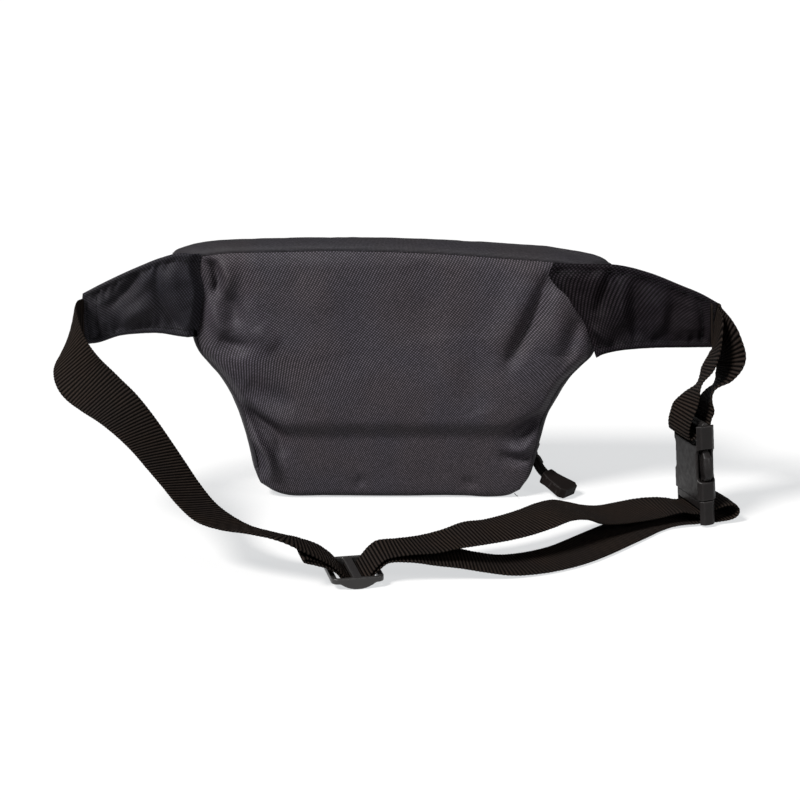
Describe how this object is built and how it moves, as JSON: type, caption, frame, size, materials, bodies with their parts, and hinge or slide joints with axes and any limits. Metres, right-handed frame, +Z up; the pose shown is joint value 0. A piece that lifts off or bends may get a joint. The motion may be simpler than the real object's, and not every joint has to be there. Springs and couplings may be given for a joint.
{
  "type": "waist pack",
  "caption": "Waist pack with zipped main and front compartments, padded belt wings and an adjustable webbing belt with a three-bar slider and side-release buckle.",
  "frame": {"origin": "middle of the bottom panel, on the surface that the pack stands on", "axes": "+Z up, +X along the belt towards the buckle's side, +Y from the wearer's side to the pack's front"},
  "size_m": [0.4043, 0.2402, 0.1546],
  "materials": {
    "shell_cloth": "fine twill, slightly glossy",
    "lining_cloth": "plain weave",
    "foam": "soft padding",
    "binding_tape": "ribbed tape",
    "zip_tape": "woven tape",
    "zip_coil": "moulded coil",
    "zip_stop": "black",
    "zip_metal": "black, satin",
    "pull_cord": "braided",
    "pull_grip": "moulded, matt",
    "webbing": "ribbed weave",
    "thread": "stitching",
    "slider_plastic": "satin",
    "buckle_plastic": "satin"
  },
  "bodies": {
    "pack": {"back_foam": "foam", "back_panel": "shell_cloth", "back_seam_binding": "binding_tape", "belt_buckle_loop": "webbing", "belt_inner_run": "webbing", "belt_outer_run": "webbing", "bottom_panel": "shell_cloth", "buckle_male": "buckle_plastic", "front_panel": "shell_cloth", "front_seam_binding": "binding_tape", "gusset_back_strip": "shell_cloth", "gusset_front_strip": "shell_cloth", "left_strap": "webbing", "left_wing_back": "shell_cloth", "left_wing_foam": "foam", "left_wing_front": "shell_cloth", "left_wing_tip_stitches": "thread", "lining": "lining_cloth", "main_zipper_coil": "zip_coil", "main_zipper_stops": "zip_stop", "main_zipper_tape": "zip_tape", "pocket_gusset": "shell_cloth", "pocket_panel": "shell_cloth", "pocket_zipper_coil": "zip_coil", "pocket_zipper_stops": "zip_stop", "pocket_zipper_tape": "zip_tape", "right_strap_far": "webbing", "right_strap_near": "webbing", "right_wing_back": "shell_cloth", "right_wing_foam": "foam", "right_wing_front": "shell_cloth", "right_wing_tip_stitches": "thread"},
    "main_zip_slider": {"main_slider": "zip_metal"},
    "main_zip_pull": {"main_puller": "zip_metal", "main_pull_cord": "pull_cord", "main_pull_grip": "pull_grip"},
    "pocket_zip_slider": {"pocket_slider": "zip_metal"},
    "pocket_zip_pull": {"pocket_puller": "zip_metal"},
    "belt_slider": {"three_bar_slider": "slider_plastic", "belt_through_slider": "webbing", "belt_tail": "webbing", "belt_tail_hem": "webbing"},
    "buckle_female_half": {"buckle_female": "buckle_plastic", "right_strap_wrap": "webbing"},
    "buckle_arm_near": {"latch_arm_near": "buckle_plastic"},
    "buckle_arm_far": {"latch_arm_far": "buckle_plastic"}
  },
  "joints": [
    {"name": "main_zip_slide", "type": "slide", "parent": "pack", "child": "main_zip_slider", "axis": [0.3315, 0, 0.9435], "range_m": [0, 0.019]},
    {"name": "main_pull_hinge", "type": "hinge", "parent": "main_zip_slider", "child": "main_zip_pull", "pos_m": [0.08408, -0.006, 0.02364], "axis": [0, -1, 0], "range_deg": [0, 95]},
    {"name": "pocket_zip_slide", "type": "slide", "parent": "pack", "child": "pocket_zip_slider", "axis": [-1, 0, 0], "range_m": [0, 0.12]},
    {"name": "pocket_pull_hinge", "type": "hinge", "parent": "pocket_zip_slider", "child": "pocket_zip_pull", "pos_m": [0.062, 0.02533, 0.0971], "axis": [0, 0.7554, -0.6553], "range_deg": [0, 150]},
    {"name": "belt_slider_slide", "type": "slide", "parent": "pack", "child": "belt_slider", "axis": [0.9781, 0.2079, 0], "range_m": [-0.012, 0.03], "deforming": ["left_strap", "belt_outer_run", "belt_inner_run"]},
    {"name": "buckle_release_slide", "type": "slide", "parent": "pack", "child": "buckle_female_half", "axis": [-0.0698, 0, 0.9976], "range_m": [0, 0.025], "deforming": ["right_strap_near", "right_strap_far", "latch_arm_near", "latch_arm_far"]},
    {"name": "latch_near_squeeze", "type": "hinge", "parent": "pack", "child": "buckle_arm_near", "pos_m": [0.17664, -0.08767, 0.01739], "axis": [-0.9636, -0.2588, -0.0674], "range_deg": [0, 10], "stiffness_Nm_per_rad": 0.06},
    {"name": "latch_far_squeeze", "type": "hinge", "parent": "pack", "child": "buckle_arm_far", "pos_m": [0.17013, -0.06333, 0.01693], "axis": [0.9636, 0.2588, 0.0674], "range_deg": [0, 10], "stiffness_Nm_per_rad": 0.06}
  ]
}
